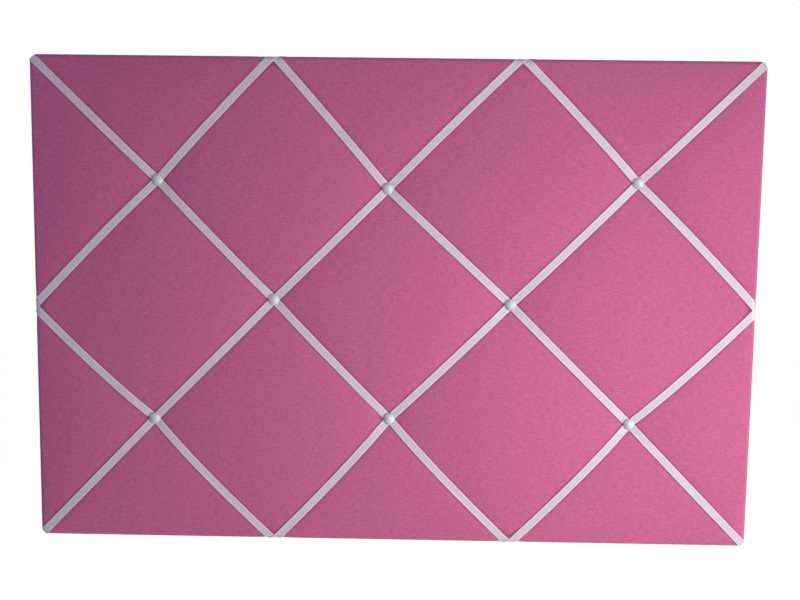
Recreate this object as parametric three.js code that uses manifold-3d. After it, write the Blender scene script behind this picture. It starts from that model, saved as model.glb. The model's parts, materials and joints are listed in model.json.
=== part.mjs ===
// French memo board: a padded board covered in cloth, with a lattice of ribbon held down by dome studs.
// It is drawn lying on its back (x across, y up the board, z out of the front) and stood up at the end.
// Millimetres. The origin is the middle of the backing card's rear face, which hangs against the wall.
import * as THREE from 'three';
import { mergeVertices } from 'three/addons/utils/BufferGeometryUtils.js';
import Module from 'manifold-3d';

const wasm = await Module();
wasm.setup();

// Board and lattice
const WIDTH = 600;
const HEIGHT = 405;
const COLUMNS = 3;
const ROWS = 2;
const BOARD_THICKNESS = 9;
const CLEARANCE = 0.3;

// The crossings are set by hand: how far some lie from their regular places, which are counted in cells
const HAND_SET = [
  { column: 0.5, row: 1.5, across: 4, up: 0 },
  { column: 1.5, row: 1.5, across: -6, up: -5 },
  { column: 2.5, row: 1.5, across: -1, up: 2 },
  { column: 1, row: 1, across: 0, up: 3 },
  { column: 2, row: 1, across: -3, up: 1.5 },
  { column: 0.5, row: 0.5, across: -1, up: 2 },
  { column: 1.5, row: 0.5, across: -3, up: 4.5 },
  { column: 2.5, row: 0.5, across: -1.5, up: 3 },
  { column: 0, row: 1, across: 0, up: -5 },
];

// Padding, measured from the front of the board
const PAD_AT_RIM = 6.5;
const PAD_AT_STUD = 2.6;
const PAD_UNDER_RIBBON = 7;
const PAD_AT_CROWN = 11.5;
const STUD_PULL_REACH = 24;
const RIM_FADE = 50;
const RIM_SWELL = 0.6;
const EDGE_ROLL = 4;

// Cloth cover
const CLOTH_THICKNESS = 0.7;
const HEM = 30;

// Ribbon
const RIBBON_WIDTH = 6.5;
const RIBBON_THICKNESS = 0.4;
const CHANNEL_MARGIN = 0.5;
const TAIL_PAST_HEM = 15;
const TAIL_STEP = 4;

// Dome studs
const STUD_DIAMETER = 9.5;
const STUD_RISE = 3.2;
const STUD_SHELL = 0.6;
const SHANK_DIAMETER = 1.6;
const SHANK_LENGTH = 11;
const SHANK_POINT = 2.5;

// Staples
const STAPLE_WIRE = 0.7;
const STAPLE_LEG = 8;
const STAPLE_MARGIN = 0.6;
const CARD_STAPLE_PAST_HEM = 6;

// Backing card
const CARD_THICKNESS = 2;
const CARD_INSET = 12;
const CARD_CORNER = 4;

// Hangers: a folded strap screwed on, with a D ring in its eye
const HANGER_FROM_SIDE = 110;
const HANGER_FROM_TOP = 65;
const STRAP_LAYER = 0.9;
const STRAP_WIDTH = 12;
const STRAP_END_MARGIN = 6;
const RING_WIRE = 2.2;
const RING_PLAY = 0.3;
const RING_SIDE_PLAY = 1.5;
const RING_LEG = 4;
const RING_BEND = 2.5;
const SCREW_HEAD_DIAMETER = 6.4;
const SCREW_HEAD_HEIGHT = 2;
const SCREW_SHANK_DIAMETER = 2.8;
const SCREW_LENGTH = 11;
const SCREW_POINT = 3;
const RECESS_WIDTH = 0.9;
const RECESS_LENGTH = 3.6;
const RECESS_DEPTH = 1.1;

// Facets
const STUD_SIDES = 12;
const SCREW_SIDES = 16;
const HOLE_SIDES = 8;
const WIRE_SIDES = 8;
const DOME_STEPS = 3;
const BEND_STEPS = 5;
const EYE_STEPS = 10;

// Heights of the layers, from the rear of the card to the front of the padding
const hemStack = CLOTH_THICKNESS + CLEARANCE + RIBBON_THICKNESS;
const stapleStack = RIBBON_THICKNESS + CLEARANCE + STAPLE_WIRE;
const boardRear = CARD_THICKNESS + 2 * CLEARANCE + Math.max(hemStack, stapleStack);
const boardFront = boardRear + BOARD_THICKNESS;
const padBase = boardFront + CLEARANCE;
const coverOverPad = CLEARANCE + CLOTH_THICKNESS;
const rimTop = padBase + PAD_AT_RIM + coverOverPad;
const edgeDrop = Math.min(EDGE_ROLL, PAD_AT_RIM);
const wallTop = rimTop - edgeDrop;
const hemRear = boardRear - CLEARANCE - CLOTH_THICKNESS;
const ribbonLift = RIBBON_THICKNESS + CLEARANCE;

// The rolled edge is two facets of a quarter round
const rollShare = Math.SQRT1_2;
const rollHeight = rimTop - edgeDrop * (1 - rollShare);
const rollLength = 2 * Math.hypot(EDGE_ROLL * (1 - rollShare), edgeDrop * rollShare);
const edgeToHem = rollLength - EDGE_ROLL + wallTop - hemRear;

// The lattice has two sets of ribbon lines, p = x + y and q = x - y, counted in cells from the lower left
const cellX = WIDTH / COLUMNS;
const cellY = HEIGHT / ROWS;
const cellDiagonal = Math.hypot(cellX, cellY);
const ribbonSpacing = (cellX * cellY) / cellDiagonal;
const channel = (RIBBON_WIDTH / 2 + CHANNEL_MARGIN) / ribbonSpacing;
const channelShare = RIBBON_WIDTH / (RIBBON_WIDTH + 2 * CHANNEL_MARGIN);
const runSteps = [0.2, 0.5, 0.8];
const steps = [-channel, channel, ...runSteps];
const onLine = 1e-6;
const cornerX = channel * cellX;
const cornerY = channel * cellY;

// Staples, and the hangers with the ring's hinge line as their origin and the wall towards -z
const stapleSpan = RIBBON_WIDTH + 2 * STAPLE_MARGIN;
const hangerX = WIDTH / 2 - HANGER_FROM_SIDE;
const hangerY = HEIGHT / 2 - HANGER_FROM_TOP;
const eyeRadius = RING_WIRE / 2 + RING_PLAY;
const eyeOutside = eyeRadius + STRAP_LAYER;
const strapThickness = 2 * STRAP_LAYER;
const hingeZ = -CLEARANCE - eyeOutside;
const ringHalfWidth = STRAP_WIDTH / 2 + RING_SIDE_PLAY + RING_WIRE / 2;
const ringReach = RING_LEG + ringHalfWidth;
const ringRest = strapThickness + CLEARANCE + RING_WIRE / 2 - eyeOutside;
const ringTilt = Math.asin(ringRest / ringReach);
const screwDrop = ringReach + RING_WIRE / 2 + CLEARANCE + SCREW_HEAD_DIAMETER / 2;
const screwSeat = eyeOutside - strapThickness - CLEARANCE;
const strapLength = screwDrop + STRAP_END_MARGIN;

const board = new THREE.Group();

const materials = {
  fibreboard: new THREE.MeshStandardMaterial({ color: '#a98a63', roughness: 0.9, metalness: 0 }),
  wadding: new THREE.MeshStandardMaterial({ color: '#f1efe9', roughness: 1, metalness: 0 }),
  cloth: new THREE.MeshStandardMaterial({ color: '#d0689a', roughness: 0.85, metalness: 0 }),
  ribbon: new THREE.MeshStandardMaterial({ color: '#e9e6ee', roughness: 0.45, metalness: 0 }),
  pearl: new THREE.MeshStandardMaterial({ color: '#dfe4e2', roughness: 0.25, metalness: 0 }),
  card: new THREE.MeshStandardMaterial({ color: '#8d7a63', roughness: 0.9, metalness: 0 }),
  steel: new THREE.MeshStandardMaterial({ color: '#b9bcc0', roughness: 0.35, metalness: 1 }),
};

function addPiece(name, geometry, material) {
  const mesh = new THREE.Mesh(geometry, material);
  mesh.name = name;
  board.add(mesh);
}

function numbered(name, index) {
  return `${name}_${String(index + 1).padStart(2, '0')}`;
}

// Solids from points and triangles, and cuts between solids

function meshGeometry(points, triangles) {
  const geometry = new THREE.BufferGeometry();
  const positions = points.flatMap((point) => point.toArray());
  geometry.setAttribute('position', new THREE.Float32BufferAttribute(positions, 3));
  geometry.setIndex(triangles.flat());
  return geometry;
}

function signedVolume(points, triangles) {
  const normal = new THREE.Vector3();
  return triangles.reduce((sum, [a, b, c]) => {
    normal.crossVectors(points[b], points[c]);
    return sum + points[a].dot(normal) / 6;
  }, 0);
}

// A closed solid through a row of sections that all have the same number of points
function loft(sections) {
  const count = sections[0].length;
  const points = sections.flat();
  const triangles = [];
  for (let s = 0; s + 1 < sections.length; s += 1) {
    for (let i = 0; i < count; i += 1) {
      const j = (i + 1) % count;
      const [a, b] = [s * count + i, s * count + j];
      triangles.push([a, b, b + count], [a, b + count, a + count]);
    }
  }
  const last = points.length - count;
  for (let i = 1; i + 1 < count; i += 1) {
    triangles.push([0, i + 1, i], [last, last + i, last + i + 1]);
  }
  if (signedVolume(points, triangles) < 0) {
    triangles.forEach((triangle) => triangle.reverse());
  }
  return meshGeometry(points, triangles);
}

function toManifold(geometry) {
  const bare = geometry.clone();
  bare.deleteAttribute('normal');
  bare.deleteAttribute('uv');
  const merged = mergeVertices(bare);
  const index = Array.from(merged.index.array);
  const triVerts = [];
  for (let i = 0; i < index.length; i += 3) {
    const [a, b, c] = index.slice(i, i + 3);
    if (a !== b && b !== c && c !== a) {
      triVerts.push(a, b, c);
    }
  }
  const vertProperties = new Float32Array(merged.attributes.position.array);
  const mesh = new wasm.Mesh({ numProp: 3, vertProperties, triVerts: new Uint32Array(triVerts) });
  return new wasm.Manifold(mesh);
}

function toGeometry(manifold) {
  const { vertProperties, triVerts } = manifold.getMesh();
  const geometry = new THREE.BufferGeometry();
  geometry.setAttribute('position', new THREE.Float32BufferAttribute(vertProperties, 3));
  geometry.setIndex(Array.from(triVerts));
  return geometry;
}

function cut(geometry, tools) {
  let body = toManifold(geometry);
  for (const tool of tools) {
    body = body.subtract(toManifold(tool));
  }
  return toGeometry(body);
}

function common(first, second) {
  return toGeometry(toManifold(first).intersect(toManifold(second)));
}

// Lattice places and the thickness of the padding

function cellPlace(p, q) {
  return { column: (p + q) / 2, row: (p - q) / 2 };
}

function isOnBoard(p, q) {
  const { column, row } = cellPlace(p, q);
  const inColumns = column > -onLine && column < COLUMNS + onLine;
  return inColumns && row > -onLine && row < ROWS + onLine;
}

function isInside(p, q) {
  const { column, row } = cellPlace(p, q);
  const inColumns = column > onLine && column < COLUMNS - onLine;
  return inColumns && row > onLine && row < ROWS - onLine;
}

// How far a crossing lies from its regular place
function crossingDrift(p, q) {
  const { column, row } = cellPlace(p, q);
  const moved = HAND_SET.find((place) => place.column === column && place.row === row);
  return moved ? new THREE.Vector2(moved.across, moved.up) : new THREE.Vector2();
}

// The drift anywhere, from the crossings round it, so that ribbons stay straight between crossings
function driftAt(p, q) {
  const [i, j] = [Math.floor(p), Math.floor(q)];
  const [s, t] = [p - i, q - j];
  const corners = [[i, j], [i + 1, j], [i + 1, j + 1], [i, j + 1]];
  const drifts = corners.map(([m, n]) => crossingDrift(m, n));
  const outside = corners.findIndex(([m, n]) => !isOnBoard(m, n));
  if (outside >= 0) {
    const [next, opposite, previous] = [1, 2, 3].map((turn) => drifts[(outside + turn) % 4]);
    drifts[outside] = next.clone().add(previous).sub(opposite);
  }
  const shares = [(1 - s) * (1 - t), s * (1 - t), s * t, (1 - s) * t];
  return drifts.reduce((sum, drift, k) => sum.addScaledVector(drift, shares[k]), new THREE.Vector2());
}

function planPoint(p, q) {
  const { column, row } = cellPlace(p, q);
  const regular = new THREE.Vector2(column * cellX - WIDTH / 2, row * cellY - HEIGHT / 2);
  return regular.add(driftAt(p, q));
}

function studPlaces() {
  const places = [];
  for (let p = 1; p < COLUMNS + ROWS; p += 1) {
    for (let q = 1 - ROWS; q < COLUMNS; q += 1) {
      if (isInside(p, q)) {
        places.push({ p, q, centre: planPoint(p, q) });
      }
    }
  }
  return places.sort((a, b) => (b.p - b.q) - (a.p - a.q) || a.p - b.p);
}

const studs = studPlaces();

// The padding swells in each diamond, sinks under the ribbons and most at the studs, and thins to the rim,
// where it also swells less
function padThickness(p, q) {
  const point = planPoint(p, q);
  const fromEdge = Math.min(WIDTH / 2 - Math.abs(point.x), HEIGHT / 2 - Math.abs(point.y));
  const fade = 1 - THREE.MathUtils.clamp(1 - fromEdge / RIM_FADE, 0, 1) ** 2;
  const inwards = THREE.MathUtils.clamp(fromEdge / (2 * RIM_FADE), 0, 1);
  const fullSwell = Math.sqrt(Math.abs(Math.sin(Math.PI * p) * Math.sin(Math.PI * q)));
  const swell = fullSwell * THREE.MathUtils.lerp(RIM_SWELL, 1, inwards);
  const pulls = studs.map(({ centre }) => Math.exp(-centre.distanceTo(point) / STUD_PULL_REACH));
  const pull = pulls.reduce((sum, each) => sum + each, 0);
  const rise = PAD_UNDER_RIBBON - PAD_AT_RIM + (PAD_AT_CROWN - PAD_UNDER_RIBBON) * swell;
  return PAD_AT_RIM + fade * (rise - (PAD_UNDER_RIBBON - PAD_AT_STUD) * pull);
}

function coverTop(p, q) {
  return padBase + padThickness(p, q) + coverOverPad;
}

// The outline, with each corner cut to the width of a ribbon channel, and lines parallel to it

function outlinePoint(place, inset) {
  const { x, y } = place;
  const alongX = (WIDTH / 2 - cornerX - inset) / (WIDTH / 2 - cornerX);
  const alongY = (HEIGHT / 2 - cornerY - inset) / (HEIGHT / 2 - cornerY);
  const isLevel = Math.abs(y) > HEIGHT / 2 - onLine;
  return isLevel
    ? new THREE.Vector2(x * alongX, y - Math.sign(y) * inset)
    : new THREE.Vector2(x - Math.sign(x) * inset, y * alongY);
}

function outlineShape(inset) {
  const ends = [
    [WIDTH / 2 - cornerX, HEIGHT / 2],
    [cornerX - WIDTH / 2, HEIGHT / 2],
    [-WIDTH / 2, HEIGHT / 2 - cornerY],
    [-WIDTH / 2, cornerY - HEIGHT / 2],
    [cornerX - WIDTH / 2, -HEIGHT / 2],
    [WIDTH / 2 - cornerX, -HEIGHT / 2],
    [WIDTH / 2, cornerY - HEIGHT / 2],
    [WIDTH / 2, HEIGHT / 2 - cornerY],
  ];
  return new THREE.Shape(ends.map(([x, y]) => outlinePoint(new THREE.Vector2(x, y), inset)));
}

// How far a point near an edge moves inwards, to leave room for the rolled edge
function rollRoom(fromEdge) {
  return EDGE_ROLL * Math.max(0, 1 - fromEdge / (3 * EDGE_ROLL));
}

function frontPoint(place) {
  const { x, y } = place;
  const roomX = rollRoom(WIDTH / 2 - Math.abs(x));
  const roomY = rollRoom(HEIGHT / 2 - Math.abs(y));
  return new THREE.Vector2(x - Math.sign(x) * roomX, y - Math.sign(y) * roomY);
}

// The front is one net of triangles along the ribbon lines, shared by the wadding and the cover

function latticeLines(first, last) {
  const lines = [];
  for (let cell = first; cell <= last; cell += 1) {
    lines.push(...steps.map((step) => cell + step));
  }
  return lines;
}

function frontNet() {
  const pLines = latticeLines(0, COLUMNS + ROWS);
  const qLines = latticeLines(-ROWS, COLUMNS);
  const knots = [];
  const numbers = new Map();
  const knotAt = (i, j) => {
    const key = `${i},${j}`;
    if (!numbers.has(key)) {
      numbers.set(key, knots.length);
      knots.push({ p: pLines[i], q: qLines[j], place: planPoint(pLines[i], qLines[j]) });
    }
    return numbers.get(key);
  };
  const triangles = [];
  for (let i = 0; i + 1 < pLines.length; i += 1) {
    for (let j = 0; j + 1 < qLines.length; j += 1) {
      const corners = [[i, j], [i, j + 1], [i + 1, j + 1], [i + 1, j]];
      const kept = corners.filter(([a, b]) => isOnBoard(pLines[a], qLines[b]));
      if (kept.length < 3) {
        continue;
      }
      const [a, b, c, d] = kept.map(([m, n]) => knotAt(m, n));
      triangles.push([a, b, c]);
      if (d !== undefined) {
        triangles.push([a, c, d]);
      }
    }
  }
  return { knots, triangles, rim: rimOf(triangles) };
}

// The knots round the edge of a net, in order
function rimOf(triangles) {
  const edges = new Map();
  for (const [a, b, c] of triangles) {
    for (const [from, to] of [[a, b], [b, c], [c, a]]) {
      if (!edges.delete(`${to},${from}`)) {
        edges.set(`${from},${to}`, [from, to]);
      }
    }
  }
  const next = new Map(edges.values());
  const [start] = next.keys();
  const rim = [start];
  while (next.get(rim.at(-1)) !== start) {
    rim.push(next.get(rim.at(-1)));
  }
  return rim;
}

const net = frontNet();

// A body whose top is the front net, with rings of points carrying on from its rim
class NetBody {
  constructor() {
    this.points = [];
    this.triangles = [];
  }

  addNet(drop, facesBack) {
    const first = this.points.length;
    for (const { p, q, place } of net.knots) {
      const at = frontPoint(place);
      this.points.push(new THREE.Vector3(at.x, at.y, coverTop(p, q) - drop));
    }
    for (const triangle of net.triangles) {
      const shifted = triangle.map((knot) => knot + first);
      this.triangles.push(facesBack ? shifted.reverse() : shifted);
    }
    return net.rim.map((knot) => knot + first);
  }

  addRing(placeAt, height) {
    const first = this.points.length;
    for (const knot of net.rim) {
      const at = placeAt(net.knots[knot].place);
      this.points.push(new THREE.Vector3(at.x, at.y, height));
    }
    return net.rim.map((knot, i) => first + i);
  }

  joinRings(rings) {
    for (let r = 0; r + 1 < rings.length; r += 1) {
      const [upper, lower] = [rings[r], rings[r + 1]];
      upper.forEach((corner, i) => {
        const j = (i + 1) % upper.length;
        this.triangles.push([corner, lower[i], lower[j]], [corner, lower[j], upper[j]]);
      });
    }
  }

  closeBelow(ring, height) {
    const middle = this.points.length;
    this.points.push(new THREE.Vector3(0, 0, height));
    ring.forEach((corner, i) => this.triangles.push([middle, ring[(i + 1) % ring.length], corner]));
  }

  geometry() {
    return meshGeometry(this.points, this.triangles);
  }
}

function rollPoint(place) {
  return frontPoint(place).lerp(outlinePoint(place, 0), rollShare);
}

function coverGeometry() {
  const body = new NetBody();
  const at = (inset) => (place) => outlinePoint(place, inset);
  const front = body.addNet(0, false);
  const back = body.addNet(CLOTH_THICKNESS, true);
  const under = hemRear + CLOTH_THICKNESS;
  body.joinRings([
    front,
    body.addRing(rollPoint, rollHeight),
    body.addRing(at(0), wallTop),
    body.addRing(at(0), hemRear),
    body.addRing(at(HEM), hemRear),
    body.addRing(at(HEM), under),
    body.addRing(at(CLOTH_THICKNESS), under),
    body.addRing(at(CLOTH_THICKNESS), wallTop),
    back,
  ]);
  return body.geometry();
}

function waddingGeometry() {
  const body = new NetBody();
  const inset = CLOTH_THICKNESS + CLEARANCE;
  const top = body.addNet(coverOverPad, false);
  const side = body.addRing((place) => outlinePoint(place, inset), wallTop);
  const base = body.addRing((place) => outlinePoint(place, inset), padBase);
  body.joinRings([top, side, base]);
  body.closeBelow(base, padBase);
  return body.geometry();
}

function boardGeometry() {
  const shape = outlineShape(CLOTH_THICKNESS + CLEARANCE);
  const slab = new THREE.ExtrudeGeometry(shape, { depth: BOARD_THICKNESS, bevelEnabled: false });
  return slab.translate(0, 0, boardRear);
}

// Studs: a hollow dome on a pointed shank

function seatHeight({ p, q }) {
  return coverTop(p + channel, q + channel) + 2 * ribbonLift;
}

function studGeometry(stud) {
  const radius = STUD_DIAMETER / 2;
  const shank = SHANK_DIAMETER / 2;
  const domeRadius = (radius ** 2 + STUD_RISE ** 2) / (2 * STUD_RISE);
  const centre = STUD_RISE - domeRadius;
  const inner = domeRadius - STUD_SHELL;
  const profile = new THREE.Path();
  profile.moveTo(0, -SHANK_LENGTH);
  profile.lineTo(shank, SHANK_POINT - SHANK_LENGTH);
  profile.lineTo(shank, centre + Math.sqrt(inner ** 2 - shank ** 2));
  profile.absarc(0, centre, inner, Math.acos(shank / inner), Math.asin(-centre / inner), true);
  profile.absarc(0, centre, domeRadius, Math.asin(-centre / domeRadius), Math.PI / 2, false);
  const turned = new THREE.LatheGeometry(profile.getPoints(DOME_STEPS), STUD_SIDES);
  turned.rotateX(Math.PI / 2);
  return turned.translate(stud.centre.x, stud.centre.y, seatHeight(stud) + CLEARANCE);
}

function shankHole(stud) {
  const depth = SHANK_LENGTH + CLEARANCE;
  const radius = SHANK_DIAMETER / 2 + CLEARANCE;
  const hole = new THREE.CylinderGeometry(radius, radius, depth, HOLE_SIDES);
  hole.rotateX(Math.PI / 2);
  return hole.translate(stud.centre.x, stud.centre.y, seatHeight(stud) + CLEARANCE - depth / 2);
}

const shankHoles = studs.map(shankHole);

// Ribbons: each runs along a lattice line, rolls over both edges and ends in a tail on the back

// One section across a ribbon, from its place on the surface, the way across and the way out of the surface
function ribbonSection(place, across, out, gap) {
  const under = place.clone().addScaledVector(out, gap);
  const over = place.clone().addScaledVector(out, gap + RIBBON_THICKNESS);
  return [
    under.clone().sub(across),
    under.clone().add(across),
    over.clone().add(across),
    over.clone().sub(across),
  ];
}

function ribbonLines() {
  const lines = [];
  for (let q = 1 - ROWS; q < COLUMNS; q += 1) {
    const ends = [Math.abs(q), Math.min(2 * COLUMNS - q, 2 * ROWS + q)];
    lines.push({ name: `ribbon_rise_${q + ROWS}`, ends, isUpper: true, at: (t) => [t, q] });
  }
  for (let p = 1; p < COLUMNS + ROWS; p += 1) {
    const ends = [Math.max(-p, p - 2 * ROWS), Math.min(p, 2 * COLUMNS - p)];
    lines.push({ name: `ribbon_fall_${p}`, ends, isUpper: false, at: (t) => [p, t] });
  }
  return lines;
}

// How a ribbon leaves the board at one end: over an edge, or over a cut corner
function ribbonEnd(line, end, sense) {
  const node = planPoint(...line.at(end));
  const heading = node.clone().sub(planPoint(...line.at(end - sense))).normalize();
  const onSide = Math.abs(node.x) > WIDTH / 2 - onLine;
  const onLevel = Math.abs(node.y) > HEIGHT / 2 - onLine;
  const step = new THREE.Vector2(onSide ? Math.sign(node.x) : 0, onLevel ? Math.sign(node.y) : 0);
  const isCorner = onSide && onLevel;
  const outline = node.clone();
  const rim = node.clone();
  if (isCorner) {
    outline.sub(new THREE.Vector2(step.x * cornerX, step.y * cornerY).divideScalar(2));
    const rimX = EDGE_ROLL + cornerX + rollRoom(cornerX);
    const rimY = EDGE_ROLL + cornerY + rollRoom(cornerY);
    rim.sub(new THREE.Vector2(step.x * rimX, step.y * rimY).divideScalar(2));
  } else {
    rim.addScaledVector(step, -EDGE_ROLL);
  }
  const outwards = step.clone().normalize();
  const lean = heading.dot(outwards);
  const sideways = heading.clone().divideScalar(lean).sub(outwards);
  const drift = isCorner ? new THREE.Vector2() : sideways;
  const across = acrossAt(line, end - sense / 2);
  return { step, outwards, outline, rim, across, lean, drift, isCorner };
}

// Half the width of a ribbon, across it and along the other set of ribbon lines
function acrossAt(line, t) {
  const [p, q] = line.at(t);
  const [near, far] = [-channel, channel].map((side) => {
    return line.isUpper ? planPoint(p, q + side) : planPoint(p + side, q);
  });
  return far.sub(near).multiplyScalar(channelShare / 2);
}

function flat(vector) {
  return new THREE.Vector3(vector.x, vector.y, 0);
}

// Where a ribbon's tail lies on the back, at a distance in from the edge
function tailPlace(end, inset) {
  const place = end.outline.clone().addScaledVector(end.step, -inset);
  return place.addScaledVector(end.drift, edgeToHem + inset);
}

// The stretch of a ribbon from the front's rim, over the edge and on to the end of its tail
function endSections(line, end) {
  const { outwards, outline, rim, across, lean, drift, isCorner } = end;
  const alongEdge = new THREE.Vector2(-outwards.y, outwards.x);
  alongEdge.multiplyScalar((RIBBON_WIDTH / 2 / lean) * Math.sign(alongEdge.dot(across)));
  const width = flat(isCorner ? across : alongEdge);
  const lift = line.isUpper && !isCorner ? ribbonLift : 0;
  const up = new THREE.Vector3(0, 0, 1);
  const out = flat(outwards);
  const sections = [];
  const add = (plan, height, travel, direction, gap) => {
    const place = flat(plan.clone().addScaledVector(drift, travel)).setZ(height);
    sections.push(ribbonSection(place, width, direction, gap));
  };
  const slope = out.clone().add(up).normalize();
  const below = out.clone().sub(up);
  const down = up.clone().negate();
  add(rim, rimTop, -EDGE_ROLL, up, CLEARANCE + lift);
  add(rim.clone().lerp(outline, rollShare), rollHeight, rollLength / 2 - EDGE_ROLL, slope, CLEARANCE + lift);
  add(outline, wallTop, rollLength - EDGE_ROLL, out, CLEARANCE + lift);
  add(outline, hemRear, edgeToHem, below, CLEARANCE);
  const tails = [[HEM, hemRear], [HEM + TAIL_STEP, boardRear], [HEM + TAIL_PAST_HEM, boardRear]];
  for (const [inset, height] of tails) {
    add(tailPlace(end, inset), height, 0, down, CLEARANCE);
  }
  return sections;
}

function runSections(line) {
  const [first, last] = line.ends;
  const up = new THREE.Vector3(0, 0, 1);
  const sections = [];
  for (let node = first; node < last; node += 1) {
    const stops = runSteps.map((step) => ({ t: node + step, lift: 0 }));
    const lift = line.isUpper ? ribbonLift : 0;
    if (node > first) {
      stops.unshift({ t: node + channel, lift });
    }
    if (node + 1 < last) {
      stops.push({ t: node + 1 - channel, lift });
    }
    for (const stop of stops) {
      const [p, q] = line.at(stop.t);
      const [near, far] = [-channel, channel].map((side) => {
        return line.isUpper ? coverTop(p, q + side) : coverTop(p + side, q);
      });
      const place = flat(planPoint(p, q)).setZ((near + far) / 2);
      const across = flat(acrossAt(line, stop.t)).setZ(((far - near) / 2) * channelShare);
      sections.push(ribbonSection(place, across, up, CLEARANCE + stop.lift));
    }
  }
  return sections;
}

function ribbonGeometry(line) {
  const [first, last] = line.ends;
  const start = endSections(line, ribbonEnd(line, first, -1)).reverse();
  const finish = endSections(line, ribbonEnd(line, last, 1));
  const strip = loft([...start, ...runSections(line), ...finish]);
  const holes = studs.flatMap(({ p, q }, i) => {
    const [lineP, lineQ] = line.at(line.isUpper ? p : q);
    return lineP === p && lineQ === q ? [shankHoles[i]] : [];
  });
  return cut(strip, holes);
}

// Staples: a bent wire whose crown holds a ribbon tail or the card down

function stapleGeometry() {
  const half = stapleSpan / 2 + STAPLE_WIRE;
  const shape = new THREE.Shape();
  shape.moveTo(-half, 0);
  shape.lineTo(half, 0);
  shape.lineTo(half, STAPLE_LEG);
  shape.lineTo(half - STAPLE_WIRE, STAPLE_LEG);
  shape.lineTo(half - STAPLE_WIRE, STAPLE_WIRE);
  shape.lineTo(STAPLE_WIRE - half, STAPLE_WIRE);
  shape.lineTo(STAPLE_WIRE - half, STAPLE_LEG);
  shape.lineTo(-half, STAPLE_LEG);
  const wire = new THREE.ExtrudeGeometry(shape, { depth: STAPLE_WIRE, bevelEnabled: false });
  return wire.translate(0, 0, -STAPLE_WIRE / 2).rotateX(Math.PI / 2);
}

function legHoles() {
  const side = STAPLE_WIRE + 2 * CLEARANCE;
  const depth = STAPLE_LEG - STAPLE_WIRE + CLEARANCE;
  return [-1, 1].map((sense) => {
    const hole = new THREE.BoxGeometry(side, side, depth);
    return hole.translate((sense * (stapleSpan + STAPLE_WIRE)) / 2, 0, STAPLE_WIRE + depth / 2);
  });
}

function placed(geometry, { place, turn, height }) {
  return geometry.rotateZ(turn).translate(place.x, place.y, height);
}

function ribbonStaples(lines) {
  const inset = HEM + (TAIL_STEP + TAIL_PAST_HEM) / 2;
  const height = boardRear - CLEARANCE - stapleStack;
  return lines.flatMap((line) => line.ends.map((end, i) => {
    const shape = ribbonEnd(line, end, i === 0 ? -1 : 1);
    const travel = shape.drift.clone().sub(shape.step);
    return { place: tailPlace(shape, inset), turn: travel.angle() + Math.PI / 2, height };
  }));
}

function cardStaples() {
  const fromEdge = HEM + CARD_STAPLE_PAST_HEM;
  const height = -CLEARANCE - STAPLE_WIRE;
  const staples = [];
  for (const side of [1, -1]) {
    for (let column = 0; column < COLUMNS; column += 1) {
      const x = (column + 0.5) * cellX - WIDTH / 2;
      staples.push({ place: new THREE.Vector2(x, side * (HEIGHT / 2 - fromEdge)), turn: 0, height });
    }
    for (let row = 0; row < ROWS; row += 1) {
      const y = (row + 0.5) * cellY - HEIGHT / 2;
      staples.push({ place: new THREE.Vector2(side * (WIDTH / 2 - fromEdge), y), turn: Math.PI / 2, height });
    }
  }
  return staples;
}

// Backing card, in three bands so that the middle of its rear face is one plain rectangle
function cardGeometry() {
  const halfWidth = WIDTH / 2 - CARD_INSET;
  const halfHeight = HEIGHT / 2 - CARD_INSET;
  const band = cellY / 2 - stapleSpan;
  const section = (y, x) => [
    new THREE.Vector3(-x, y, 0),
    new THREE.Vector3(x, y, 0),
    new THREE.Vector3(x, y, CARD_THICKNESS),
    new THREE.Vector3(-x, y, CARD_THICKNESS),
  ];
  return loft([
    section(-halfHeight, halfWidth - CARD_CORNER),
    section(CARD_CORNER - halfHeight, halfWidth),
    section(-band, halfWidth),
    section(band, halfWidth),
    section(halfHeight - CARD_CORNER, halfWidth),
    section(halfHeight, halfWidth - CARD_CORNER),
  ]);
}

// Hangers: a strap folded round the ring's bar, its lower end round and screwed down

function strapGeometry() {
  const profile = new THREE.Shape();
  const shoulder = Math.asin((strapThickness - eyeOutside) / eyeOutside);
  profile.moveTo(-strapLength, 0);
  profile.lineTo(0, 0);
  profile.absarc(0, eyeOutside, eyeOutside, -Math.PI / 2, Math.PI - shoulder, false);
  profile.lineTo(-strapLength, strapThickness);
  const eye = new THREE.Path();
  eye.absarc(0, eyeOutside, eyeRadius, 0, 2 * Math.PI, true);
  profile.holes.push(eye);
  const options = { depth: STRAP_WIDTH, bevelEnabled: false, curveSegments: EYE_STEPS };
  const bent = new THREE.ExtrudeGeometry(profile, options).translate(0, -eyeOutside, -STRAP_WIDTH / 2);
  const strapAxes = new THREE.Matrix4().makeBasis(
    new THREE.Vector3(0, 1, 0),
    new THREE.Vector3(0, 0, -1),
    new THREE.Vector3(-1, 0, 0),
  );
  bent.applyMatrix4(strapAxes);
  const half = STRAP_WIDTH / 2;
  const plan = new THREE.Shape();
  plan.moveTo(half, 2 * eyeOutside);
  plan.lineTo(-half, 2 * eyeOutside);
  plan.lineTo(-half, half - strapLength);
  plan.absarc(0, half - strapLength, half, Math.PI, 2 * Math.PI, false);
  const depth = 4 * eyeOutside;
  const blank = new THREE.ExtrudeGeometry(plan, { depth, bevelEnabled: false, curveSegments: BEND_STEPS });
  return common(bent, blank.translate(0, 0, -depth / 2));
}

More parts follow.
